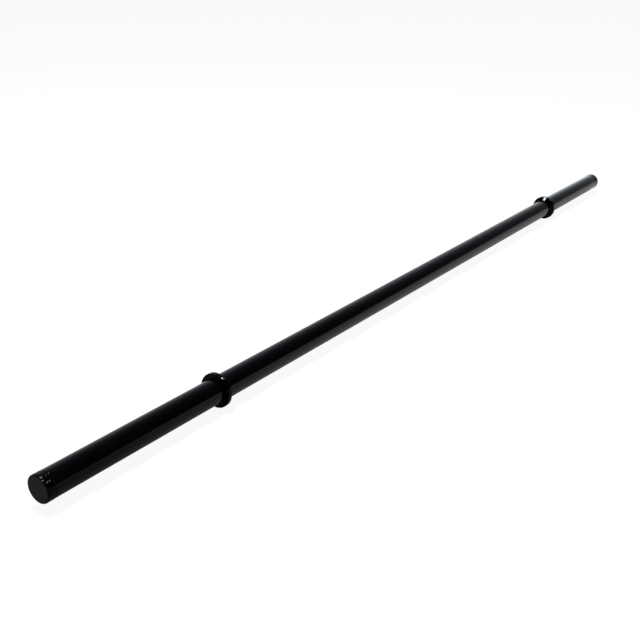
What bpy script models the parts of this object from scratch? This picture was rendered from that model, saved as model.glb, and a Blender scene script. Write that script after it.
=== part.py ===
"""Aerobic barbell: a plain steel tube, two stop collars locked by set screws, and two plastic end plugs.

Metres, +Z up. The bar lies along X with its middle at X = 0, and its collars touch the ground at Z = 0.
Each end's pieces hang on an empty at the tip of the bar, whose own +X points out of the bar.
"""

import math

import bmesh
import bpy
from mathutils import Matrix, Vector

# Tube
OVERALL_LENGTH = 1.350
TUBE_DIAMETER = 0.028
TUBE_WALL = 0.0022
TUBE_DEBURR = 0.0004

# Stop collars
SLEEVE_LENGTH = 0.233
COLLAR_RISE = 0.00555
COLLAR_CONE_WIDTH = 0.0042
COLLAR_CONE_LIP = 0.0009
COLLAR_RIM_FILLET = 0.0004
COLLAR_BORE_CHAMFER = 0.0004

# Set screws, each with a point that enters a drilled seat in the tube
SCREW_DIAMETER = 0.003
SCREW_LAND = 0.001
SCREW_RECESS = 0.0003
SCREW_CHAMFER = 0.0003
SCREW_POINT_DIAMETER = 0.002
SCREW_POINT_LENGTH = 0.0009
SCREW_ROLL = math.radians(30)
SOCKET_ACROSS_FLATS = 0.0015
SOCKET_DEPTH = 0.0018
HOLE_COUNTERSINK = 0.0003

# End plugs
PLUG_HEAD_LENGTH = 0.0095
PLUG_HEAD_RISE = 0.0002
PLUG_FACE_FILLET = 0.0016
PLUG_SEAM_FILLET = 0.0003
PLUG_STEM_LENGTH = 0.024
PLUG_STEM_WALL = 0.0018
PLUG_FACE_THICKNESS = 0.0035
PLUG_LEAD_CHAMFER = 0.0006
FIN_COUNT = 4
FIN_HEIGHT = 0.0014
FIN_EDGE = 0.0005
FIN_SLOPE = 0.0016

# Fits and facets
CLEARANCE = 0.0003
CUTTER_MARGIN = 0.002
LARGE_SEGMENTS = 48
SMALL_SEGMENTS = 24
HEXAGON_SIDES = 6
ARC_STEPS = 3
FILLET_EDGE_SHARE = 0.45
MERGE_DISTANCE = 1e-6
SHARP_ANGLE = math.radians(35)

# Worked out from the sizes above
TUBE_RADIUS = TUBE_DIAMETER / 2
TUBE_LENGTH = OVERALL_LENGTH - 2 * (PLUG_HEAD_LENGTH + CLEARANCE)
TUBE_BORE_RADIUS = TUBE_RADIUS - TUBE_WALL
RIM_RADIUS = TUBE_RADIUS + COLLAR_RISE
COLLAR_BORE_RADIUS = TUBE_RADIUS + CLEARANCE
COLLAR_RIM_WIDTH = SCREW_DIAMETER + 2 * SCREW_LAND
SCREW_RADIUS = SCREW_DIAMETER / 2
SCREW_POINT_RADIUS = SCREW_POINT_DIAMETER / 2
SCREW_BODY_LENGTH = RIM_RADIUS - COLLAR_BORE_RADIUS - SCREW_RECESS
AXIS_HEIGHT = RIM_RADIUS * math.cos(math.pi / LARGE_SEGMENTS)

# Turns a piece made along +X so that it points along +Z
POINT_UP = (0.0, math.radians(-90), 0.0)

SIDES = (("left", -1), ("right", 1))


def clear_scene():
    """Remove every object that the file opened with."""
    for item in list(bpy.data.objects):
        bpy.data.objects.remove(item, do_unlink=True)


def surface(name, colour, roughness, metallic):
    """A Principled material of one colour."""
    material = bpy.data.materials.new(name)
    material.use_nodes = True
    shader = material.node_tree.nodes["Principled BSDF"]
    shader.inputs["Base Color"].default_value = (*colour, 1.0)
    shader.inputs["Roughness"].default_value = roughness
    shader.inputs["Metallic"].default_value = metallic
    return material


def corner_arc(before, corner, after, fillet):
    """Points of the arc that rounds a corner, tangent to its two edges and limited by their lengths."""
    to_before = before - corner
    to_after = after - corner
    half_angle = to_before.angle(to_after) / 2
    reach = fillet / math.tan(half_angle)
    reach = min(reach, FILLET_EDGE_SHARE * to_before.length, FILLET_EDGE_SHARE * to_after.length)
    start = corner + to_before.normalized() * reach
    bisector = (to_before.normalized() + to_after.normalized()).normalized()
    centre = corner + bisector * (reach / math.cos(half_angle))
    turn = math.copysign(math.pi - 2 * half_angle, to_after.cross(to_before))
    return [
        centre + Matrix.Rotation(turn * step / ARC_STEPS, 2) @ (start - centre)
        for step in range(ARC_STEPS + 1)
    ]


def rounded_outline(corners):
    """The outline through corners (x, radius, fillet), with an arc wherever the fillet isn't zero."""
    places = [Vector(corner[:2]) for corner in corners]
    outline = []
    for index, place in enumerate(places):
        fillet = corners[index][2]
        if fillet == 0.0:
            outline.append(place)
            continue
        following = places[(index + 1) % len(places)]
        outline.extend(corner_arc(places[index - 1], place, following, fillet))
    return outline


def turned_mesh(name, corners, segments):
    """A solid turned about X. Its outline is a loop, or runs from the axis and back to it."""
    outline = rounded_outline(corners)
    meets_axis = corners[0][1] == 0.0
    half_step = math.pi / segments
    shape = bmesh.new()
    rim = [
        shape.verts.new((x, radius * math.sin(half_step), radius * math.cos(half_step)))
        for x, radius in outline
    ]
    following = rim[1:] if meets_axis else rim[1:] + rim[:1]
    edges = [shape.edges.new(pair) for pair in zip(rim, following)]
    bmesh.ops.spin(
        shape,
        geom=rim + edges,
        cent=(0.0, 0.0, 0.0),
        axis=(1.0, 0.0, 0.0),
        angle=2 * math.pi,
        steps=segments,
        use_merge=True,
    )
    bmesh.ops.remove_doubles(shape, verts=shape.verts, dist=MERGE_DISTANCE)
    bmesh.ops.recalc_face_normals(shape, faces=shape.faces)
    mesh = bpy.data.meshes.new(name)
    shape.to_mesh(mesh)
    shape.free()
    mesh.shade_smooth()
    mesh.set_sharp_from_angle(angle=SHARP_ANGLE)
    return mesh


def add_object(name, mesh, parent, location=(0.0, 0.0, 0.0), rotation=(0.0, 0.0, 0.0)):
    """Link an object, or an empty where there is no mesh, under its parent."""
    item = bpy.data.objects.new(name, mesh)
    bpy.context.scene.collection.objects.link(item)
    item.parent = parent
    item.location = location
    item.rotation_euler = rotation
    return item


def cut(item, cutter):
    """Take the cutter's shape out of an object and keep the cutter as a hidden guide."""
    cutter.hide_render = True
    cutter.display_type = "WIRE"
    modifier = item.modifiers.new(cutter.name, "BOOLEAN")
    modifier.operation = "DIFFERENCE"
    modifier.solver = "EXACT"
    modifier.object = cutter


def tube_corners():
    """A ring-shaped section whose four edges are broken."""
    end = TUBE_LENGTH / 2
    return [
        (-end, TUBE_BORE_RADIUS, TUBE_DEBURR),
        (-end, TUBE_RADIUS, TUBE_DEBURR),
        (end, TUBE_RADIUS, TUBE_DEBURR),
        (end, TUBE_BORE_RADIUS, TUBE_DEBURR),
    ]


def collar_corners():
    """Flat plate face at x = 0, rounded rim, and a cone down to the tube on the handle's side."""
    back = -(COLLAR_RIM_WIDTH + COLLAR_CONE_WIDTH)
    lip_radius = COLLAR_BORE_RADIUS + COLLAR_CONE_LIP
    return [
        (0.0, COLLAR_BORE_RADIUS, COLLAR_BORE_CHAMFER),
        (0.0, RIM_RADIUS, COLLAR_RIM_FILLET),
        (-COLLAR_RIM_WIDTH, RIM_RADIUS, COLLAR_RIM_FILLET),
        (back, lip_radius, 0.0),
        (back, COLLAR_BORE_RADIUS, 0.0),
    ]


def hole_corners():
    """The screw's hole, from inside the collar's bore out through the rim, with its countersink."""
    radius = SCREW_RADIUS + CLEARANCE
    sink = RIM_RADIUS - HOLE_COUNTERSINK
    outside = RIM_RADIUS + CUTTER_MARGIN
    outside_radius = radius + (outside - sink)
    return [
        (COLLAR_BORE_RADIUS - CUTTER_MARGIN, 0.0, 0.0),
        (COLLAR_BORE_RADIUS - CUTTER_MARGIN, radius, 0.0),
        (sink, radius, 0.0),
        (outside, outside_radius, 0.0),
        (outside, 0.0, 0.0),
    ]


def seat_corners():
    """The flat-bottomed seat that the screw's point enters, drilled into the tube's wall."""
    radius = SCREW_POINT_RADIUS + CLEARANCE
    floor = TUBE_RADIUS - SCREW_POINT_LENGTH
    outside = TUBE_RADIUS + CUTTER_MARGIN
    return [
        (floor, 0.0, 0.0),
        (floor, radius, 0.0),
        (outside, radius, 0.0),
        (outside, 0.0, 0.0),
    ]


def screw_corners():
    """A set screw from its point, below x = 0, to the top of its threaded body."""
    return [
        (-SCREW_POINT_LENGTH, 0.0, 0.0),
        (-SCREW_POINT_LENGTH, SCREW_POINT_RADIUS, 0.0),
        (0.0, SCREW_POINT_RADIUS, 0.0),
        (0.0, SCREW_RADIUS - SCREW_CHAMFER, 0.0),
        (SCREW_CHAMFER, SCREW_RADIUS, 0.0),
        (SCREW_BODY_LENGTH - SCREW_CHAMFER, SCREW_RADIUS, 0.0),
        (SCREW_BODY_LENGTH, SCREW_RADIUS - SCREW_CHAMFER, 0.0),
        (SCREW_BODY_LENGTH, 0.0, 0.0),
    ]


def socket_corners():
    """The hexagon key's socket, as deep as the key goes in."""
    radius = SOCKET_ACROSS_FLATS / 2 / math.cos(math.pi / HEXAGON_SIDES)
    floor = SCREW_BODY_LENGTH - SOCKET_DEPTH
    outside = SCREW_BODY_LENGTH + CUTTER_MARGIN
    return [
        (floor, 0.0, 0.0),
        (floor, radius, 0.0),
        (outside, radius, 0.0),
        (outside, 0.0, 0.0),
    ]


def plug_corners():
    """Head with a flat face at x = 0, then a hollow stem whose sloped fins grip the tube's bore."""
    head_radius = TUBE_RADIUS + PLUG_HEAD_RISE
    fin_radius = TUBE_BORE_RADIUS - CLEARANCE
    stem_radius = fin_radius - FIN_HEIGHT
    hollow_radius = stem_radius - PLUG_STEM_WALL
    tip = -(PLUG_HEAD_LENGTH + PLUG_STEM_LENGTH)
    corners = [
        (0.0, 0.0, 0.0),
        (0.0, head_radius, PLUG_FACE_FILLET),
        (-PLUG_HEAD_LENGTH, head_radius, PLUG_SEAM_FILLET),
        (-PLUG_HEAD_LENGTH, stem_radius, 0.0),
    ]
    pitch = PLUG_STEM_LENGTH / (FIN_COUNT + 1)
    for number in range(1, FIN_COUNT + 1):
        back = -PLUG_HEAD_LENGTH - number * pitch
        corners.append((back, stem_radius, 0.0))
        corners.append((back, fin_radius, 0.0))
        corners.append((back - FIN_EDGE, fin_radius, 0.0))
        corners.append((back - FIN_EDGE - FIN_SLOPE, stem_radius, 0.0))
    corners.append((tip + PLUG_LEAD_CHAMFER, stem_radius, 0.0))
    corners.append((tip, stem_radius - PLUG_LEAD_CHAMFER, 0.0))
    corners.append((tip, hollow_radius, 0.0))
    corners.append((-PLUG_FACE_THICKNESS, hollow_radius, 0.0))
    corners.append((-PLUG_FACE_THICKNESS, 0.0, 0.0))
    return corners


def build_tube(bar):
    """The steel tube, which is the handle and both sleeves in one piece."""
    mesh = turned_mesh("bar_tube", tube_corners(), LARGE_SEGMENTS)
    mesh.materials.append(surface("tube_black_coat", (0.012, 0.012, 0.014), 0.38, 0.0))
    return add_object("bar_tube", mesh, bar)


def build_collar(side, sign, end, meshes):
    """A stop collar, rolled about the bar so that its screw hole faces forward and up."""
    collar = add_object(
        side + "_stop_collar",
        meshes["collar"],
        end,
        location=(-SLEEVE_LENGTH, 0.0, 0.0),
        rotation=(sign * SCREW_ROLL, 0.0, 0.0),
    )
    middle = (-COLLAR_RIM_WIDTH / 2, 0.0, 0.0)
    cut(collar, add_object(side + "_hole_cutter", meshes["hole"], collar, middle, POINT_UP))
    return collar


def build_screw(side, collar, tube, meshes):
    """The set screw in its hole, with its point in the seat that is drilled into the tube."""
    middle = -COLLAR_RIM_WIDTH / 2
    screw = add_object(
        side + "_collar_screw",
        meshes["screw"],
        collar,
        location=(middle, 0.0, COLLAR_BORE_RADIUS),
        rotation=POINT_UP,
    )
    cut(screw, add_object(side + "_socket_cutter", meshes["socket"], screw))
    cut(tube, add_object(side + "_seat_cutter", meshes["seat"], collar, (middle, 0.0, 0.0), POINT_UP))


def shared_meshes():
    """The meshes that both ends of the bar use."""
    meshes = {
        "collar": turned_mesh("stop_collar", collar_corners(), LARGE_SEGMENTS),
        "hole": turned_mesh("screw_hole", hole_corners(), SMALL_SEGMENTS),
        "seat": turned_mesh("screw_seat", seat_corners(), SMALL_SEGMENTS),
        "screw": turned_mesh("set_screw", screw_corners(), SMALL_SEGMENTS),
        "socket": turned_mesh("key_socket", socket_corners(), HEXAGON_SIDES),
        "plug": turned_mesh("end_plug", plug_corners(), LARGE_SEGMENTS),
    }
    meshes["collar"].materials.append(surface("collar_gloss_black", (0.008, 0.008, 0.009), 0.18, 0.0))
    meshes["screw"].materials.append(surface("screw_zinc_plate", (0.60, 0.61, 0.62), 0.35, 1.0))
    meshes["plug"].materials.append(surface("plug_black_plastic", (0.018, 0.018, 0.019), 0.5, 0.0))
    return meshes


def build_barbell():
    """The whole bar, on one empty at the height of its axis."""
    clear_scene()
    bar = add_object("bar_axis", None, None, location=(0.0, 0.0, AXIS_HEIGHT))
    tube = build_tube(bar)
    meshes = shared_meshes()
    for side, sign in SIDES:
        facing_out = (0.0, 0.0, 0.0 if sign > 0 else math.pi)
        end = add_object(side + "_tip", None, bar, (sign * OVERALL_LENGTH / 2, 0.0, 0.0), facing_out)
        collar = build_collar(side, sign, end, meshes)
        build_screw(side, collar, tube, meshes)
        add_object(side + "_end_cap", meshes["plug"], end)


build_barbell()
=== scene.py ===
"""Looks of the aerobic barbell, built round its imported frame.

Metres, +Z up. The bar lies along X with its middle at X = 0. Each end's pieces are made in a local frame
whose +X points out of the bar along its axis, with x = 0 at the bar's tip or at the collar's plate face.
They are then moved to the left and the right end, so that every piece ends up in the row frame.
"""

import math

import bmesh
import bpy
from mathutils import Matrix, Vector


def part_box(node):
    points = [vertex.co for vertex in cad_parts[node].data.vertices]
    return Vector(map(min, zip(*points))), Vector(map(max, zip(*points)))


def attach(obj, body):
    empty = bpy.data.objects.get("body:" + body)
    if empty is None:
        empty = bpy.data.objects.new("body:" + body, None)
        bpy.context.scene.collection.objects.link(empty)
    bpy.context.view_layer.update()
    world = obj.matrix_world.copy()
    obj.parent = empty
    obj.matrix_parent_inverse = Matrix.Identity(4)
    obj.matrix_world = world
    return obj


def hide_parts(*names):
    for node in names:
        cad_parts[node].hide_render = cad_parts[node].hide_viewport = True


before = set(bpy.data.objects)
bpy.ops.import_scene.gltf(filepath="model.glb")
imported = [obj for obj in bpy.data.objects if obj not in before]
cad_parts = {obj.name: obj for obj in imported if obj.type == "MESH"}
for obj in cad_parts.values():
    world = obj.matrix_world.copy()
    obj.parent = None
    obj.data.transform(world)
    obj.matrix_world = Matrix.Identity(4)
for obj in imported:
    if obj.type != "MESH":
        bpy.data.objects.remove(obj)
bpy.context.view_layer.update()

# Places and sizes read from the frame
TUBE_LOW, TUBE_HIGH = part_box("bar_tube")
COLLAR_LOW, COLLAR_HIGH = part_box("right_stop_collar")
CAP_LOW, CAP_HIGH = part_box("right_end_cap")
AXIS_HEIGHT = (TUBE_LOW.z + TUBE_HIGH.z) / 2
TUBE_END = TUBE_HIGH.x
TIP = CAP_HIGH.x
PLATE_FACE = COLLAR_HIGH.x
COLLAR_WIDTH = COLLAR_HIGH.x - COLLAR_LOW.x
RIM_RADIUS = (COLLAR_HIGH.z - COLLAR_LOW.z) / 2
CAP_LENGTH = CAP_HIGH.x - CAP_LOW.x

# Tube, and the gap between neighbouring pieces
TUBE_RADIUS = 0.014
TUBE_WALL = 0.0022
TUBE_DEBURR = 0.0005
CLEARANCE = 0.0003

# Collar, which is a closer fit on the tube
COLLAR_CLEARANCE = 0.00008
CONE_WIDTH = 0.0047
CONE_FOOT_RISE = 0.0006
PLATE_EDGE_FILLET = 0.0003
CONE_EDGE_FILLET = 0.0004
CONE_FOOT_FILLET = 0.0001
BORE_FILLET = 0.0001

# Set screw, its hole in the collar and its seat in the tube
SCREW_RADIUS = 0.0015
SCREW_RECESS = 0.0003
SCREW_PLACE = 0.0025
SCREW_ROLL = math.radians(30)
SCREW_SHOULDER = 0.0008
SCREW_CROWN = 0.0010
SCREW_POINT_RADIUS = 0.001
SCREW_POINT_LENGTH = 0.0009
SCREW_POINT_CHAMFER = 0.0001
THREAD_PITCH = 0.0005
THREAD_DEPTH = 0.0002
THREAD_STEPS = 8
SOCKET_ACROSS_FLATS = 0.0015
SOCKET_DEPTH = 0.0018
SOCKET_ROUNDING = 0.00005
SOCKET_DRILL_RADIUS = 0.000675
SOCKET_DRILL_DEPTH = 0.0004
SOCKET_DRILL_TIP = 0.000075
HOLE_LIP = 0.0003
CUTTER_MARGIN = 0.002

# End plug
HEAD_LENGTH = TIP - TUBE_END - CLEARANCE
HEAD_RISE = 0.0002
FACE_FILLET = 0.0016
SEAM_FILLET = 0.0004
STEM_WALL = 0.0018
FACE_THICKNESS = 0.0035
LEAD_CHAMFER = 0.0006
FIN_COUNT = 4
FIN_HEIGHT = 0.0014
FIN_EDGE = 0.0005
FIN_SLOPE = 0.0016
FIN_FILLET = 0.00015

# Facets
ROUND_SEGMENTS = 192
SCREW_SEGMENTS = 72
CUTTER_SEGMENTS = 96
FLOOR_SEGMENTS = 96
ARC_STEPS = 8
LOOP_STEP = 0.00005
MERGE_DISTANCE = 1e-7
SMOOTH_ANGLE = math.radians(32)

# The bar's two ends, each with the sign of its X
SIDES = (("left", -1.0), ("right", 1.0))

# Sockets of a Mix node for colours, by number
MIX_FACTOR = 0
MIX_FIRST = 6
MIX_SECOND = 7
MIX_RESULT = 2

# Materials. Colours are linear, dulling is what a mark or cloud adds to the roughness, and a pair of numbers
# says where a zone or a mark starts, and then where it is whole.
WHITE = (1.0, 1.0, 1.0)
COAT_TINT = (0.68, 0.84, 1.0)
RUB_BASE = (0.0055, 0.0057, 0.0060)

# Powder coat on the tube
TUBE_BASE = (0.0009, 0.0010, 0.0012)
TUBE_IOR = 1.195
TUBE_ROUGHNESS = 0.11
TUBE_CLOUD_DULLING = 0.06
TUBE_CLOUDS = {"size": 0.035, "detail": 3.0, "stretch": 3.0}
TUBE_PEEL = {"size": 0.0025, "detail": 1.0}
TUBE_PEEL_DEPTH = 0.000035
TUBE_GRAIN = {"size": 0.0004, "detail": 1.0}
TUBE_GRAIN_DEPTH = 0.0000016
SLEEVE_REACH = 0.006
SLEEVE_STREAKS = {"low": 0.60, "high": 0.72, "size": 0.0005, "detail": 1.0, "stretch": 40.0}
SLEEVE_PATCHES = {"low": 0.45, "high": 0.62, "size": 0.025}
SLEEVE_RUB_DULLING = 0.14
SLEEVE_RUB_DEPTH = 0.000004
DUST_BASE = (0.030, 0.029, 0.027)
DUST_SPECKS = {"low": 0.80, "high": 0.86, "size": 0.0005, "detail": 0.0}

# Enamel on the collars
ENAMEL_TINT = (0.86, 0.94, 1.0)
ENAMEL_BASE = (0.0005, 0.0005, 0.0006)
ENAMEL_IOR = 1.125
ENAMEL_ROUGHNESS = 0.06
ENAMEL_CLOUD_DULLING = 0.02
ENAMEL_CLOUDS = {"size": 0.012}
ENAMEL_PEEL = {"size": 0.0018, "detail": 1.0}
ENAMEL_PEEL_DEPTH = 0.000004
PLATE_RUB_DEPTHS = (0.0002, 0.0001)
PLATE_RUB_RING_SIZE = 0.0003
PLATE_RUB_RINGS = (0.45, 0.70)
PLATE_RUB_PATCHES = {"low": 0.42, "high": 0.62, "size": 0.005}
PLATE_RUB_STRENGTH = 0.4
PLATE_RUB_DULLING = 0.05
PLATE_RUB_DEPTH = 0.000002
CHIP_BASE = (0.030, 0.029, 0.028)
CHIP_REACH = (0.0007, 0.0003)
CHIP_SPOTS = {"low": 0.64, "high": 0.67, "size": 0.0012}
CHIP_DULLING = 0.15
CHIP_DEPTH = 0.00003

# Moulded plastic of the plugs, and the matt finish of their faces
PLASTIC_BASE = (0.0009, 0.0010, 0.0011)
PLASTIC_IOR = 1.15
PLASTIC_ROUGHNESS = 0.20
PLASTIC_CLOUD_DULLING = 0.04
PLASTIC_CLOUDS = {"size": 0.010}
PLASTIC_TEXTURE = {"size": 0.00035, "detail": 1.0}
PLASTIC_TEXTURE_DEPTH = 0.000016
SIDE_TEXTURE = 0.15
FACE_BASE = (0.024, 0.0245, 0.025)
FACE_ROUGHNESS = 0.52
FACE_DEPTHS = (0.0004, 0.00005)
FACE_INSETS = (0.0010, 0.0016)
FACE_MOTTLE = {"size": 0.006, "detail": 3.0}
FACE_MOTTLE_LEAST = 0.6
FACE_MOTTLE_SPAN = 0.6
FACE_WEAR = {"low": 0.66, "high": 0.74, "size": 0.0007, "detail": 1.0}

# Light scuffs on the left plug's side that are also painted highlights: metres from the tip, degrees from
# the top towards -Y, radius, strength
SCUFF_AND_HIGHLIGHT_SPOTS = (
    (0.0015, 19.5, 0.00095, 0.9),
    (0.0026, 20.5, 0.00065, 0.7),
    (0.0007, 32.8, 0.00095, 1.0),
    (0.0068, 19.6, 0.00060, 0.7),
    (0.0025, 46.8, 0.00070, 1.0),
    (0.0040, 45.2, 0.00080, 0.8),
    (0.0060, 45.6, 0.00080, 0.8),
)
# Colour of the scuff spots, which paints highlights on the plug's top edge as well as scuffs
SCUFF_AND_HIGHLIGHT_BASE = (0.24, 0.24, 0.25)
SCUFF_DULLING = 0.25
SCUFF_DEPTH = 0.00004
SPOT_GRAIN = {"size": 0.0004}
SPOT_RAGGEDNESS = 0.0016
SPOT_CORE = 0.5

# Zinc plate on the screws
ZINC_BASE = (0.86, 0.87, 0.88)
ZINC_IOR = 1.5
ZINC_ROUGHNESS = 0.34
ZINC_GRAIN = {"size": 0.0003, "detail": 1.0}
ZINC_GRAIN_DEPTH = 0.0000015
FILM_BASE = (0.62, 0.60, 0.52)
FILM_CLOUDS = {"low": 0.45, "high": 0.75, "size": 0.0010, "detail": 3.0}
FILM_STRENGTH = 0.35
FILM_DULLING = 0.05
# Painted shade: the screw gets darker and duller with depth below the rim, down in the socket
SOCKET_SHADE_BASE = (0.020, 0.019, 0.017)
SOCKET_SHADE_DEPTHS = (0.0005, 0.0012)
SOCKET_SHADE_DULLING = 0.40

# Floor, with its glow for the camera and in mirror images, which dims over a span of X
FLOOR_RADIUS = 8.0
FLOOR_ALBEDO = 0.15
FLOOR_GLOW = 0.92
FLOOR_MIRRORED = 1.12
NEAR_DIMNESS = 0.65
NEAR_SPAN = (-0.15, -0.70)
SHADE_REACH = 0.25
SHADE_SAMPLES = 8

# Strip light, with the direction of its long side
KEY_PLACE = (-0.278, 0.506, 2.0)
KEY_AIM = (0.0, 0.0, 0.02)
KEY_LINE = (0.196, 0.981, 0.0)
KEY_LENGTH = 0.60
KEY_WIDTH = 0.07
KEY_RADIANCE = 290.0

# Glows of the sky: azimuth and elevation in degrees, sharpness, strength, limit
BACK_LOBE = (43.0, -8.4, 3.36, 1.5, 0.8)
END_LOBE = (3.1, -1.7, 56.3, 57.7, 4.0)

# Parts of the sky: the X or Z of a direction where each starts, and then where it is whole
END_MIDDLE = (0.935, 0.955)
END_DIMNESS = 0.78
BACKDROP_SIDE = (0.35, 0.0)
BACKDROP_HEIGHT = (0.60, 0.25)
BACKDROP_LEVEL = 0.90
HORIZON_HEIGHT = (0.12, 0.0)
WORLD_BELOW = 0.95
SKY_TINT = (0.94, 1.0, 1.07)

# Camera, with its focal length in pixels of the picture and its sensor in millimetres
FOCAL_PIXELS = 933.85
PICTURE_PIXELS = 640
SENSOR_WIDTH = 36.0
CAMERA_PLACE = (-1.10110, -0.59460, AXIS_HEIGHT + 0.44740)
CAMERA_HEADING = math.radians(34.924)
CAMERA_PITCH = math.radians(22.545)
CAMERA_ROLL = math.radians(0.378)


def fillet_arc(before, corner, after, fillet):
    """The arc that rounds a corner, and one more point on each edge, which keeps the flats shaded flat."""
    to_before = (before - corner).normalized()
    to_after = (after - corner).normalized()
    half_angle = to_before.angle(to_after) / 2
    start = corner + to_before * (fillet / math.tan(half_angle))
    centre = corner + (to_before + to_after).normalized() * (fillet / math.sin(half_angle))
    turn = math.copysign(math.pi - 2 * half_angle, to_after.cross(to_before))
    arc = [
        centre + Matrix.Rotation(turn * step / ARC_STEPS, 2) @ (start - centre)
        for step in range(ARC_STEPS + 1)
    ]
    return [arc[0] + to_before * LOOP_STEP, *arc, arc[-1] + to_after * LOOP_STEP]


def rounded_outline(corners):
    """The outline through corners (x, radius, fillet), with an arc wherever the fillet isn't zero."""
    places = [Vector(corner[:2]) for corner in corners]
    outline = []
    for index, place in enumerate(places):
        fillet = corners[index][2]
        if fillet == 0.0:
            outline.append(place)
        else:
            following = places[(index + 1) % len(places)]
            outline.extend(fillet_arc(places[index - 1], place, following, fillet))
    return outline


def finish_mesh(name, shape):
    """Turn a bmesh into a mesh whose shallow edges shade smooth."""
    bmesh.ops.remove_doubles(shape, verts=shape.verts, dist=MERGE_DISTANCE)
    bmesh.ops.recalc_face_normals(shape, faces=shape.faces)
    mesh = bpy.data.meshes.new(name)
    shape.to_mesh(mesh)
    shape.free()
    mesh.shade_smooth()
    mesh.set_sharp_from_angle(angle=SMOOTH_ANGLE)
    return mesh


def turned_mesh(name, corners, segments=ROUND_SEGMENTS):
    """A solid turned about X. Its outline is a loop, or runs from the axis and back to it."""
    meets_axis = corners[0][1] == 0.0
    shape = bmesh.new()
    rim = [shape.verts.new((x, 0.0, radius)) for x, radius in rounded_outline(corners)]
    following = rim[1:] if meets_axis else rim[1:] + rim[:1]
    edges = [shape.edges.new(pair) for pair in zip(rim, following)]
    bmesh.ops.spin(
        shape,
        geom=rim + edges,
        cent=(0.0, 0.0, 0.0),
        axis=(1.0, 0.0, 0.0),
        angle=2 * math.pi,
        steps=segments,
        use_merge=True,
    )
    return finish_mesh(name, shape)


def ring_mesh(name, rings):
    """A closed solid through rings of points, with a flat face inside its first and its last ring."""
    shape = bmesh.new()
    loops = [[shape.verts.new(point) for point in ring] for ring in rings]
    for lower, upper in zip(loops, loops[1:]):
        for index in range(len(lower)):
            after = (index + 1) % len(lower)
            shape.faces.new((lower[index], lower[after], upper[after], upper[index]))
    shape.faces.new(loops[0])
    shape.faces.new(loops[-1])
    return finish_mesh(name, shape)


def cut_mesh(mesh, cutter, name):
    """The mesh with the cutter's shape taken out of it."""
    body = bpy.data.objects.new(name, mesh)
    tool = bpy.data.objects.new(name + "_cutter", cutter)
    for item in (body, tool):
        bpy.context.scene.collection.objects.link(item)
    modifier = body.modifiers.new("cut", "BOOLEAN")
    modifier.operation = "DIFFERENCE"
    modifier.solver = "EXACT"
    modifier.object = tool
    seen = body.evaluated_get(bpy.context.evaluated_depsgraph_get())
    result = bpy.data.meshes.new_from_object(seen)
    result.name = name
    for item in (body, tool):
        bpy.data.objects.remove(item)
    result.shade_smooth()
    result.set_sharp_from_angle(angle=SMOOTH_ANGLE)
    return result


def tube_corners():
    """A wall whose four edges are broken. Loops under the collars frame the screws' seats."""
    bore = TUBE_RADIUS - TUBE_WALL
    cone_foot = PLATE_FACE - COLLAR_WIDTH
    return [
        (-TUBE_END, bore, TUBE_DEBURR),
        (-TUBE_END, TUBE_RADIUS, TUBE_DEBURR),
        (-PLATE_FACE, TUBE_RADIUS, 0.0),
        (-cone_foot, TUBE_RADIUS, 0.0),
        (cone_foot, TUBE_RADIUS, 0.0),
        (PLATE_FACE, TUBE_RADIUS, 0.0),
        (TUBE_END, TUBE_RADIUS, TUBE_DEBURR),
        (TUBE_END, bore, TUBE_DEBURR),
    ]


def collar_corners():
    """Flat plate face at x = 0, a rim, and a cone down to the tube on the handle's side."""
    bore = TUBE_RADIUS + COLLAR_CLEARANCE
    return [
        (0.0, bore, BORE_FILLET),
        (0.0, RIM_RADIUS, PLATE_EDGE_FILLET),
        (CONE_WIDTH - COLLAR_WIDTH, RIM_RADIUS, CONE_EDGE_FILLET),
        (-COLLAR_WIDTH, TUBE_RADIUS + CONE_FOOT_RISE, CONE_FOOT_FILLET),
        (-COLLAR_WIDTH, bore, 0.0),
    ]


def hole_corners():
    """The screw's hole, from inside the collar's bore out through the rim, with a rounded lip."""
    radius = SCREW_RADIUS + CLEARANCE
    inside = TUBE_RADIUS + CLEARANCE - CUTTER_MARGIN
    return [
        (inside, 0.0, 0.0),
        (inside, radius, 0.0),
        (RIM_RADIUS, radius, HOLE_LIP),
        (RIM_RADIUS, radius + CUTTER_MARGIN, 0.0),
        (RIM_RADIUS + CUTTER_MARGIN, radius + CUTTER_MARGIN, 0.0),
        (RIM_RADIUS + CUTTER_MARGIN, 0.0, 0.0),
    ]


def seat_corners():
    """The flat-bottomed seat that the screw's point enters, drilled into the tube's wall."""
    radius = SCREW_POINT_RADIUS + CLEARANCE
    floor = TUBE_RADIUS - SCREW_POINT_LENGTH
    return [
        (floor, 0.0, 0.0),
        (floor, radius, 0.0),
        (TUBE_RADIUS + CUTTER_MARGIN, radius, 0.0),
        (TUBE_RADIUS + CUTTER_MARGIN, 0.0, 0.0),
    ]


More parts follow.
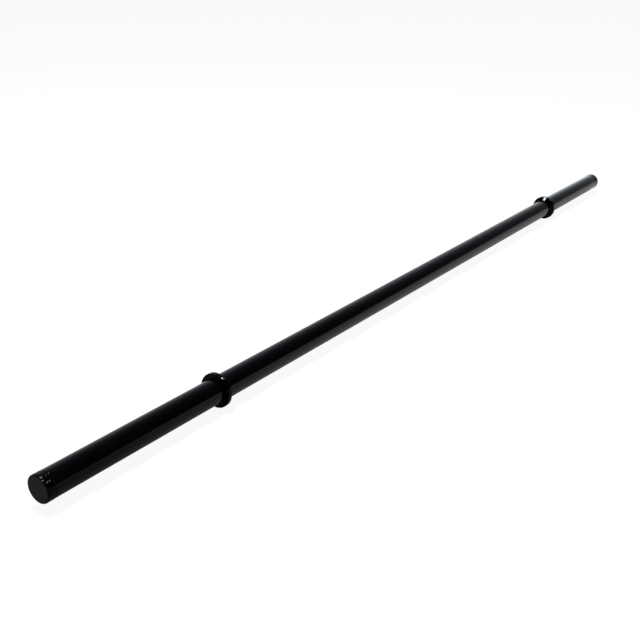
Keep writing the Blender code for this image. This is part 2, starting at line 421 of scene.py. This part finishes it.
def plug_corners():
    """Head with a flat face at x = 0, then a hollow stem whose sloped fins reach for the tube's bore."""
    head_radius = TUBE_RADIUS + HEAD_RISE
    fin_radius = TUBE_RADIUS - TUBE_WALL - CLEARANCE
    stem_radius = fin_radius - FIN_HEIGHT
    hollow_radius = stem_radius - STEM_WALL
    corners = [
        (0.0, 0.0, 0.0),
        (0.0, head_radius, FACE_FILLET),
        (-HEAD_LENGTH, head_radius, SEAM_FILLET),
        (-HEAD_LENGTH, stem_radius, 0.0),
    ]
    pitch = (CAP_LENGTH - HEAD_LENGTH) / (FIN_COUNT + 1)
    for number in range(1, FIN_COUNT + 1):
        back = -HEAD_LENGTH - number * pitch
        corners.append((back, stem_radius, 0.0))
        corners.append((back, fin_radius, FIN_FILLET))
        corners.append((back - FIN_EDGE, fin_radius, FIN_FILLET))
        corners.append((back - FIN_EDGE - FIN_SLOPE, stem_radius, 0.0))
    corners.append((LEAD_CHAMFER - CAP_LENGTH, stem_radius, 0.0))
    corners.append((-CAP_LENGTH, stem_radius - LEAD_CHAMFER, 0.0))
    corners.append((-CAP_LENGTH, hollow_radius, 0.0))
    corners.append((-FACE_THICKNESS, hollow_radius, 0.0))
    corners.append((-FACE_THICKNESS, 0.0, 0.0))
    return corners


def screw_ring(height, radius_at):
    """One ring of the screw at a height over the bar's axis, with a radius for each angle."""
    ring = []
    for index in range(SCREW_SEGMENTS):
        angle = 2 * math.pi * index / SCREW_SEGMENTS
        radius = radius_at(angle)
        ring.append((height, radius * math.cos(angle), radius * math.sin(angle)))
    return ring


def round_ring(height, radius):
    """A ring along a circle."""
    return screw_ring(height, lambda angle: radius)


def hexagon_ring(height, apothem):
    """A ring along a hexagon, which has a point wherever a corner falls."""
    sector = math.pi / 3
    return screw_ring(height, lambda angle: apothem / math.cos((angle + sector / 2) % sector - sector / 2))


def socket_ring(height, apothem, angle):
    """A ring in the socket's rounded mouth, round at its top and hexagonal at its bottom."""
    share = math.sin(angle)
    circle = round_ring(height, apothem)
    hexagon = hexagon_ring(height, apothem)
    return [tuple(Vector(a).lerp(Vector(b), share)) for a, b in zip(circle, hexagon)]


def thread_ring(height, start, end):
    """A ring of the helical thread, which fades out towards both ends of the body."""
    fade = min(1.0, (height - start) / THREAD_PITCH, (end - height) / THREAD_PITCH)

    def radius_at(angle):
        phase = (height / THREAD_PITCH - angle / (2 * math.pi)) % 1.0
        groove = 1.0 - abs(2 * phase - 1.0)
        return SCREW_RADIUS - THREAD_DEPTH * groove * max(fade, 0.0)

    return screw_ring(height, radius_at)


def point_rings(point, bottom):
    """The dog point, from its chamfered end to the shoulder under the thread."""
    return [
        round_ring(point, SCREW_POINT_RADIUS / 2),
        round_ring(point, SCREW_POINT_RADIUS - SCREW_POINT_CHAMFER),
        round_ring(point + SCREW_POINT_CHAMFER, SCREW_POINT_RADIUS),
        round_ring(bottom, SCREW_POINT_RADIUS),
        round_ring(bottom, SCREW_SHOULDER),
    ]


def socket_rings(top):
    """The hexagon socket, from its rounded mouth down to the hole that was drilled for it."""
    half_socket = SOCKET_ACROSS_FLATS / 2
    rings = []
    for step in range(ARC_STEPS + 1):
        angle = math.pi / 2 * step / ARC_STEPS
        height = top - SOCKET_ROUNDING * (1.0 - math.cos(angle))
        rings.append(socket_ring(height, half_socket + SOCKET_ROUNDING * (1.0 - math.sin(angle)), angle))
    floor = top - SOCKET_DEPTH
    rings.append(hexagon_ring(floor, half_socket))
    rings.append(round_ring(floor, SOCKET_DRILL_RADIUS))
    rings.append(round_ring(floor - SOCKET_DRILL_DEPTH, SOCKET_DRILL_TIP))
    return rings


def screw_mesh():
    """A set screw along X, from its dog point in the tube's wall to its crowned end with the socket."""
    bottom = TUBE_RADIUS + CLEARANCE
    top = RIM_RADIUS - SCREW_RECESS
    slant = math.acos((SCREW_RADIUS - SCREW_SHOULDER) / SCREW_CROWN)
    rings = point_rings(bottom - SCREW_POINT_LENGTH, bottom)
    start = bottom + SCREW_RADIUS - SCREW_SHOULDER
    end = top - SCREW_CROWN * (1.0 - math.sin(slant))
    count = round((end - start) / THREAD_PITCH * THREAD_STEPS)
    for step in range(count + 1):
        rings.append(thread_ring(start + (end - start) * step / count, start, end))
    for step in range(1, ARC_STEPS + 1):
        angle = slant + (math.pi / 2 - slant) * step / ARC_STEPS
        height = top - SCREW_CROWN * (1.0 - math.sin(angle))
        rings.append(round_ring(height, SCREW_SHOULDER + SCREW_CROWN * math.cos(angle)))
    return ring_mesh("set_screw", rings + socket_rings(top))


def link_maths(tree, operation, first, second=0.0):
    """A maths node on two values, each a number or another node's output."""
    node = tree.nodes.new("ShaderNodeMath")
    node.operation = operation
    for socket, value in zip(node.inputs, (first, second)):
        if isinstance(value, (int, float)):
            socket.default_value = value
        else:
            tree.links.new(value, socket)
    return node.outputs[0]


def product(tree, *values):
    """All the values multiplied together."""
    result = values[0]
    for value in values[1:]:
        result = link_maths(tree, "MULTIPLY", result, value)
    return result


def layered(tree, start, layers):
    """A start value plus layers, each a value from 0 to 1 and the most that it adds."""
    total = start
    for value, most in layers:
        total = link_maths(tree, "ADD", link_maths(tree, "MULTIPLY", value, most), total)
    return total


def ramp(tree, value, start, whole):
    """A smooth step, from 0 where the value is at start to 1 where it is at whole."""
    node = tree.nodes.new("ShaderNodeMapRange")
    node.interpolation_type = "SMOOTHSTEP"
    node.inputs["From Min"].default_value = start
    node.inputs["From Max"].default_value = whole
    tree.links.new(value, node.inputs["Value"])
    return node.outputs["Result"]


def ramp_below(tree, value, edge, depths):
    """The smooth step between two depths below an edge."""
    return ramp(tree, value, edge - depths[0], edge - depths[1])


def place_of(tree):
    """The shaded point in the row frame."""
    return tree.nodes.new("ShaderNodeTexCoord").outputs["Object"]


def grain(tree, size, detail=2.0, stretch=1.0):
    """Noise from 0 to 1 with lumps about as wide as the size in metres, drawn out along the bar."""
    mapping = tree.nodes.new("ShaderNodeMapping")
    mapping.inputs["Scale"].default_value = (1.0 / (size * stretch), 1.0 / size, 1.0 / size)
    tree.links.new(place_of(tree), mapping.inputs["Vector"])
    noise = tree.nodes.new("ShaderNodeTexNoise")
    noise.inputs["Scale"].default_value = 1.0
    noise.inputs["Detail"].default_value = detail
    tree.links.new(mapping.outputs["Vector"], noise.inputs["Vector"])
    return noise.outputs[0]


def blots(tree, low, high, **sizes):
    """A mask from grain, 0 where the grain is below the low value and 1 where it is above the high one."""
    return ramp(tree, grain(tree, **sizes), low, high)


def ring_grain(tree, radius, size):
    """Noise that changes only with the distance from the axis, so that it draws rings."""
    noise = tree.nodes.new("ShaderNodeTexNoise")
    noise.noise_dimensions = "1D"
    noise.inputs["Scale"].default_value = 1.0
    tree.links.new(link_maths(tree, "DIVIDE", radius, size), noise.inputs["W"])
    return noise.outputs[0]


def hypotenuse(tree, first, second):
    """The long side of a right triangle with these two others."""
    squares = [link_maths(tree, "MULTIPLY", side, side) for side in (first, second)]
    return link_maths(tree, "SQRT", link_maths(tree, "ADD", *squares))


def bar_place(tree):
    """Distance from the bar's middle, distance from its axis, and height over the axis."""
    parts = tree.nodes.new("ShaderNodeSeparateXYZ")
    tree.links.new(place_of(tree), parts.inputs[0])
    along = link_maths(tree, "ABSOLUTE", parts.outputs["X"])
    height = link_maths(tree, "SUBTRACT", parts.outputs["Z"], AXIS_HEIGHT)
    return along, hypotenuse(tree, parts.outputs["Y"], height), height


def new_surface(name, roughness, ior, tint=WHITE, metallic=0.0):
    """A Principled material with its mean roughness and the values that are the same all over it."""
    material = bpy.data.materials.new(name)
    material.use_nodes = True
    tree = material.node_tree
    shader = tree.nodes["Principled BSDF"]
    shader.inputs["Roughness"].default_value = roughness
    shader.inputs["IOR"].default_value = ior
    shader.inputs["Specular Tint"].default_value = (*tint, 1.0)
    shader.inputs["Metallic"].default_value = metallic
    return material, tree, shader


def set_colour(tree, shader, base, marks):
    """The base colour with marks laid over it, each a mask from 0 to 1 and a colour."""
    below = None
    for mask, colour in marks:
        mix = tree.nodes.new("ShaderNodeMix")
        mix.data_type = "RGBA"
        tree.links.new(mask, mix.inputs[MIX_FACTOR])
        mix.inputs[MIX_FIRST].default_value = (*base, 1.0)
        mix.inputs[MIX_SECOND].default_value = (*colour, 1.0)
        if below is not None:
            tree.links.new(below, mix.inputs[MIX_FIRST])
        below = mix.outputs[MIX_RESULT]
    tree.links.new(below, shader.inputs["Base Color"])


def set_gloss(tree, shader, start, layers):
    """Roughness from a start and layers, each a value from 0 to 1 and the most that it adds."""
    tree.links.new(layered(tree, start, layers), shader.inputs["Roughness"])


def set_relief(tree, shader, layers):
    """Bump from layers, each a height from 0 to 1 and the depth in metres that 1 stands for."""
    bump = tree.nodes.new("ShaderNodeBump")
    bump.inputs["Distance"].default_value = 1.0
    tree.links.new(layered(tree, 0.0, layers), bump.inputs["Height"])
    tree.links.new(bump.outputs["Normal"], shader.inputs["Normal"])


def tube_coat():
    """Satin powder coat: orange peel, cloudy gloss, rub marks along the sleeves and a little dust."""
    material, tree, shader = new_surface("satin_powder_coat", TUBE_ROUGHNESS, TUBE_IOR, COAT_TINT)
    along, _, height = bar_place(tree)
    sleeve = ramp(tree, along, PLATE_FACE, PLATE_FACE + SLEEVE_REACH)
    rub = product(tree, sleeve, blots(tree, **SLEEVE_STREAKS), blots(tree, **SLEEVE_PATCHES))
    dust = product(tree, blots(tree, **DUST_SPECKS), ramp(tree, height, 0.0, TUBE_RADIUS))
    set_colour(tree, shader, TUBE_BASE, (
        (rub, RUB_BASE),
        (dust, DUST_BASE),
    ))
    set_gloss(tree, shader, TUBE_ROUGHNESS - TUBE_CLOUD_DULLING / 2, (
        (grain(tree, **TUBE_CLOUDS), TUBE_CLOUD_DULLING),
        (rub, SLEEVE_RUB_DULLING),
    ))
    set_relief(tree, shader, (
        (grain(tree, **TUBE_PEEL), TUBE_PEEL_DEPTH),
        (grain(tree, **TUBE_GRAIN), TUBE_GRAIN_DEPTH),
        (rub, -SLEEVE_RUB_DEPTH),
    ))
    return material


def plate_rub(tree, along, radius):
    """Rings that the plates rub into the plate face, in patches."""
    face = ramp_below(tree, along, PLATE_FACE, PLATE_RUB_DEPTHS)
    rings = ramp(tree, ring_grain(tree, radius, PLATE_RUB_RING_SIZE), *PLATE_RUB_RINGS)
    return product(tree, face, rings, blots(tree, **PLATE_RUB_PATCHES))


def edge_chips(tree, along, radius):
    """Chips along the edge between the plate face and the rim."""
    to_rim = link_maths(tree, "SUBTRACT", radius, RIM_RADIUS)
    to_face = link_maths(tree, "SUBTRACT", along, PLATE_FACE)
    edge = ramp(tree, hypotenuse(tree, to_rim, to_face), *CHIP_REACH)
    return product(tree, edge, blots(tree, **CHIP_SPOTS))


def collar_enamel():
    """Gloss enamel: faint peel, rings rubbed into the plate face, and chips along its edge."""
    material, tree, shader = new_surface("gloss_enamel", ENAMEL_ROUGHNESS, ENAMEL_IOR, ENAMEL_TINT)
    along, radius, _ = bar_place(tree)
    rub = plate_rub(tree, along, radius)
    chips = edge_chips(tree, along, radius)
    set_colour(tree, shader, ENAMEL_BASE, (
        (product(tree, rub, PLATE_RUB_STRENGTH), RUB_BASE),
        (chips, CHIP_BASE),
    ))
    set_gloss(tree, shader, ENAMEL_ROUGHNESS - ENAMEL_CLOUD_DULLING / 2, (
        (grain(tree, **ENAMEL_CLOUDS), ENAMEL_CLOUD_DULLING),
        (rub, PLATE_RUB_DULLING),
        (chips, CHIP_DULLING),
    ))
    set_relief(tree, shader, (
        (grain(tree, **ENAMEL_PEEL), ENAMEL_PEEL_DEPTH),
        (rub, -PLATE_RUB_DEPTH),
        (chips, -CHIP_DEPTH),
    ))
    return material


def scuff_and_highlight_mask(tree):
    """The plug's light scuffs, which are also painted highlights, each a ragged spot round its place."""
    ragged = layered(tree, -SPOT_RAGGEDNESS / 2, ((grain(tree, **SPOT_GRAIN), SPOT_RAGGEDNESS),))
    total = 0.0
    for inward, degrees, radius, strength in SCUFF_AND_HIGHLIGHT_SPOTS:
        turn = math.radians(degrees)
        distance = tree.nodes.new("ShaderNodeVectorMath")
        distance.operation = "DISTANCE"
        tree.links.new(place_of(tree), distance.inputs[0])
        distance.inputs[1].default_value = (
            inward - TIP,
            -TUBE_RADIUS * math.sin(turn),
            AXIS_HEIGHT + TUBE_RADIUS * math.cos(turn),
        )
        rough_distance = link_maths(tree, "ADD", distance.outputs["Value"], ragged)
        spot = product(tree, ramp(tree, rough_distance, radius, radius * SPOT_CORE), strength)
        total = link_maths(tree, "MAXIMUM", spot, total)
    return total


def cap_plastic():
    """Moulded plastic: a matt face, a side as smooth as the tube's coat, fine texture, and light scuffs that
    are also painted highlights.
    """
    material, tree, shader = new_surface("moulded_plastic", PLASTIC_ROUGHNESS, PLASTIC_IOR, COAT_TINT)
    along, radius, _ = bar_place(tree)
    flat = ramp_below(tree, along, TIP, FACE_DEPTHS)
    inner = ramp_below(tree, radius, TUBE_RADIUS, FACE_INSETS)
    face = product(tree, flat, inner)
    mottle = layered(tree, FACE_MOTTLE_LEAST, ((grain(tree, **FACE_MOTTLE), FACE_MOTTLE_SPAN),))
    scuffs_and_highlights = scuff_and_highlight_mask(tree)
    set_colour(tree, shader, PLASTIC_BASE, (
        (product(tree, face, mottle), FACE_BASE),
        (product(tree, blots(tree, **FACE_WEAR), face), RUB_BASE),
        # light scuff spots, partly painted highlights on the plug's top edge
        (scuffs_and_highlights, SCUFF_AND_HIGHLIGHT_BASE),
    ))
    set_gloss(tree, shader, PLASTIC_ROUGHNESS - PLASTIC_CLOUD_DULLING / 2, (
        (grain(tree, **PLASTIC_CLOUDS), PLASTIC_CLOUD_DULLING),
        (face, FACE_ROUGHNESS - PLASTIC_ROUGHNESS),
        (scuffs_and_highlights, SCUFF_DULLING),
    ))
    share = layered(tree, SIDE_TEXTURE, ((face, 1.0 - SIDE_TEXTURE),))
    set_relief(tree, shader, (
        (product(tree, grain(tree, **PLASTIC_TEXTURE), share), PLASTIC_TEXTURE_DEPTH),
        (scuffs_and_highlights, -SCUFF_DEPTH),
    ))
    return material


def screw_zinc():
    """Bright zinc plate, a little cloudy, with painted shade that darkens it down in the socket."""
    material, tree, shader = new_surface("zinc_plate", ZINC_ROUGHNESS, ZINC_IOR, metallic=1.0)
    _, radius, _ = bar_place(tree)
    socket_shade = ramp_below(tree, radius, RIM_RADIUS, SOCKET_SHADE_DEPTHS)
    film = blots(tree, **FILM_CLOUDS)
    set_colour(tree, shader, ZINC_BASE, (
        (product(tree, film, FILM_STRENGTH), FILM_BASE),
        # painted shade down in the socket
        (socket_shade, SOCKET_SHADE_BASE),
    ))
    set_gloss(tree, shader, ZINC_ROUGHNESS, (
        (film, FILM_DULLING),
        (socket_shade, SOCKET_SHADE_DULLING),
    ))
    set_relief(tree, shader, ((grain(tree, **ZINC_GRAIN), ZINC_GRAIN_DEPTH),))
    return material


def add_piece(name, mesh, material, node):
    """Link a piece, already made in the row frame, that stands for a CAD node."""
    mesh.materials.clear()
    mesh.materials.append(material)
    piece = bpy.data.objects.new(name, mesh)
    bpy.context.scene.collection.objects.link(piece)
    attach(piece, "root")
    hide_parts(node)


def placed(mesh, name, place):
    """A copy of a mesh with the placing worked into its points."""
    copy = mesh.copy()
    copy.name = name
    copy.transform(place)
    return copy


def end_matrix(sign, x):
    """From an end's local frame to the row frame."""
    turn = Matrix.Identity(4) if sign > 0 else Matrix.Rotation(math.pi, 4, "Z")
    return Matrix.Translation((sign * x, 0.0, AXIS_HEIGHT)) @ turn


def screw_matrix(sign):
    """From the screw's own axis, X, to its hole in the collar. Both holes lean to -Y in the row frame."""
    upright = Matrix.Rotation(math.radians(-90), 4, "Y")
    roll = Matrix.Rotation(sign * SCREW_ROLL, 4, "X")
    return Matrix.Translation((-SCREW_PLACE, 0.0, 0.0)) @ roll @ upright


def drilled_tube():
    """The tube, with a seat for each screw's point."""
    tube = turned_mesh("tube_blank", tube_corners())
    tube.transform(Matrix.Translation((0.0, 0.0, AXIS_HEIGHT)))
    seat = turned_mesh("seat", seat_corners(), CUTTER_SEGMENTS)
    for side, sign in SIDES:
        place = end_matrix(sign, PLATE_FACE) @ screw_matrix(sign)
        tube = cut_mesh(tube, placed(seat, side + "_seat", place), "tube_drilled_" + side)
    return tube


def build_pieces():
    """All seven pieces, one for each CAD node."""
    enamel = collar_enamel()
    zinc = screw_zinc()
    plastic = cap_plastic()
    ring = turned_mesh("ring_blank", collar_corners())
    hole = turned_mesh("hole", hole_corners(), CUTTER_SEGMENTS)
    screw = screw_mesh()
    plug = turned_mesh("plug_blank", plug_corners())
    for side, sign in SIDES:
        face = end_matrix(sign, PLATE_FACE)
        to_screw = screw_matrix(sign)
        drilled = cut_mesh(ring, placed(hole, side + "_hole", to_screw), side + "_drilled_ring")
        collar = placed(drilled, side + "_ring", face)
        add_piece(side + "_collar_ring", collar, enamel, side + "_stop_collar")
        set_screw = placed(screw, side + "_screw", face @ to_screw)
        add_piece(side + "_set_screw", set_screw, zinc, side + "_collar_screw")
        end_plug = placed(plug, side + "_plug", end_matrix(sign, TIP))
        add_piece(side + "_plug", end_plug, plastic, side + "_end_cap")
    add_piece("coated_tube", drilled_tube(), tube_coat(), "bar_tube")


def floor_glow(tree):
    """How much the floor shines by itself, which makes it white where its diffuse light is added.

    The camera sees it evenly lit. In gloss and glass it holds the bar's contact shadow, and dims towards
    the bar's left end.
    """
    path = tree.nodes.new("ShaderNodeLightPath")
    glossy = path.outputs["Is Glossy Ray"]
    mirrored = link_maths(tree, "MAXIMUM", glossy, path.outputs["Is Transmission Ray"])
    shade = tree.nodes.new("ShaderNodeAmbientOcclusion")
    shade.samples = SHADE_SAMPLES
    shade.inputs["Distance"].default_value = SHADE_REACH
    parts = tree.nodes.new("ShaderNodeSeparateXYZ")
    tree.links.new(place_of(tree), parts.inputs[0])
    light = layered(tree, 1.0, ((ramp(tree, parts.outputs["X"], *NEAR_SPAN), -NEAR_DIMNESS),))
    return layered(tree, 0.0, (
        (path.outputs["Is Camera Ray"], FLOOR_GLOW),
        (product(tree, mirrored, shade.outputs["AO"], light), FLOOR_MIRRORED),
    ))


def floor_white():
    """The floor's material: a diffuse grey that keeps the bar's shadow, plus its own glow."""
    material = bpy.data.materials.new("floor_white")
    material.use_nodes = True
    tree = material.node_tree
    tree.nodes.clear()
    diffuse = tree.nodes.new("ShaderNodeBsdfDiffuse")
    diffuse.inputs["Color"].default_value = (FLOOR_ALBEDO, FLOOR_ALBEDO, FLOOR_ALBEDO, 1.0)
    glow = tree.nodes.new("ShaderNodeEmission")
    tree.links.new(floor_glow(tree), glow.inputs["Strength"])
    both = tree.nodes.new("ShaderNodeAddShader")
    tree.links.new(diffuse.outputs[0], both.inputs[0])
    tree.links.new(glow.outputs[0], both.inputs[1])
    output = tree.nodes.new("ShaderNodeOutputMaterial")
    tree.links.new(both.outputs[0], output.inputs["Surface"])
    return material


def build_floor():
    """A round floor at the level that the collars rest on."""
    shape = bmesh.new()
    bmesh.ops.create_circle(shape, cap_ends=True, segments=FLOOR_SEGMENTS, radius=FLOOR_RADIUS)
    mesh = bpy.data.meshes.new("floor")
    shape.to_mesh(mesh)
    shape.free()
    mesh.materials.append(floor_white())
    floor = bpy.data.objects.new("floor", mesh)
    bpy.context.scene.collection.objects.link(floor)


def unit_vector(azimuth, elevation):
    """The direction at an azimuth from +X towards +Y and an elevation, both in radians."""
    level = math.cos(elevation)
    return Vector((math.cos(azimuth) * level, math.sin(azimuth) * level, math.sin(elevation)))


def world_lobe(tree, direction, azimuth, elevation, sharpness, strength, limit):
    """A soft glow round a direction of the sky, strength * exp(sharpness * (cosine - 1)) up to a limit."""
    dot = tree.nodes.new("ShaderNodeVectorMath")
    dot.operation = "DOT_PRODUCT"
    tree.links.new(direction, dot.inputs[0])
    dot.inputs[1].default_value = unit_vector(math.radians(azimuth), math.radians(elevation))
    fall = product(tree, link_maths(tree, "SUBTRACT", dot.outputs["Value"], 1.0), sharpness)
    glow = product(tree, link_maths(tree, "EXPONENT", fall), strength)
    return link_maths(tree, "MINIMUM", glow, limit)


def sky_glow(tree, direction, x):
    """A wide glow behind the bar, and a strong low one round its far end whose middle is dimmed."""
    ring = layered(tree, 1.0, ((ramp(tree, x, *END_MIDDLE), -END_DIMNESS),))
    end_glow = product(tree, world_lobe(tree, direction, *END_LOBE), ring)
    return link_maths(tree, "ADD", world_lobe(tree, direction, *BACK_LOBE), end_glow)


def backdrop_mask(tree, x, z):
    """1 at the horizon and on the backdrop in the sky's left half, 0 where the room is dark."""
    left = product(tree, ramp(tree, x, *BACKDROP_SIDE), ramp(tree, z, *BACKDROP_HEIGHT))
    return link_maths(tree, "MAXIMUM", left, ramp(tree, z, *HORIZON_HEIGHT))


def sky_colour(tree, share):
    """White where the share is 0, and the sky's tint where it is 1."""
    mix = tree.nodes.new("ShaderNodeMix")
    mix.data_type = "RGBA"
    tree.links.new(share, mix.inputs[MIX_FACTOR])
    mix.inputs[MIX_FIRST].default_value = (*WHITE, 1.0)
    mix.inputs[MIX_SECOND].default_value = (*SKY_TINT, 1.0)
    return mix.outputs[MIX_RESULT]


def build_world():
    """A dark room with two glows, a pale horizon and a pale backdrop, and white below the horizon.

    The glows are tinted, and what is pale is neutral.
    """
    world = bpy.data.worlds.new("studio")
    bpy.context.scene.world = world
    world.use_nodes = True
    tree = world.node_tree
    tree.nodes.clear()
    direction = tree.nodes.new("ShaderNodeTexCoord").outputs["Generated"]
    parts = tree.nodes.new("ShaderNodeSeparateXYZ")
    tree.links.new(direction, parts.inputs[0])
    x = parts.outputs["X"]
    z = parts.outputs["Z"]
    backdrop = backdrop_mask(tree, x, z)
    pale = product(tree, backdrop, BACKDROP_LEVEL)
    above = link_maths(tree, "MAXIMUM", sky_glow(tree, direction, x), pale)
    is_above = link_maths(tree, "GREATER_THAN", z, 0.0)
    is_below = link_maths(tree, "SUBTRACT", 1.0, is_above)
    level = layered(tree, product(tree, above, is_above), ((is_below, WORLD_BELOW),))
    tinted = link_maths(tree, "SUBTRACT", is_above, backdrop)
    background = tree.nodes.new("ShaderNodeBackground")
    tree.links.new(sky_colour(tree, tinted), background.inputs["Color"])
    tree.links.new(level, background.inputs["Strength"])
    output = tree.nodes.new("ShaderNodeOutputWorld")
    tree.links.new(background.outputs[0], output.inputs["Surface"])


def build_key():
    """A strip soft box above and behind the bar's near half, with its long side across the bar."""
    lamp = bpy.data.lights.new("key", "AREA")
    lamp.shape = "RECTANGLE"
    lamp.size = KEY_WIDTH
    lamp.size_y = KEY_LENGTH
    lamp.energy = KEY_RADIANCE * math.pi * KEY_WIDTH * KEY_LENGTH
    key = bpy.data.objects.new("key", lamp)
    bpy.context.scene.collection.objects.link(key)
    away = (Vector(KEY_PLACE) - Vector(KEY_AIM)).normalized()
    along = (Vector(KEY_LINE) - away * away.dot(Vector(KEY_LINE))).normalized()
    key.location = KEY_PLACE
    key.rotation_euler = Matrix((along.cross(away), along, away)).transposed().to_euler()


def build_camera():
    """The camera at the photograph's viewing angle."""
    lens = bpy.data.cameras.new("camera")
    lens.sensor_width = SENSOR_WIDTH
    lens.lens = FOCAL_PIXELS / PICTURE_PIXELS * SENSOR_WIDTH
    camera = bpy.data.objects.new("camera", lens)
    bpy.context.scene.collection.objects.link(camera)
    look = unit_vector(CAMERA_HEADING, -CAMERA_PITCH)
    aim = look.to_track_quat("-Z", "Y").to_matrix() @ Matrix.Rotation(CAMERA_ROLL, 3, "Z")
    camera.location = CAMERA_PLACE
    camera.rotation_euler = aim.to_euler()
    bpy.context.scene.camera = camera


build_pieces()
build_floor()
build_world()
build_key()
build_camera()
bpy.context.scene.view_settings.view_transform = "Standard"
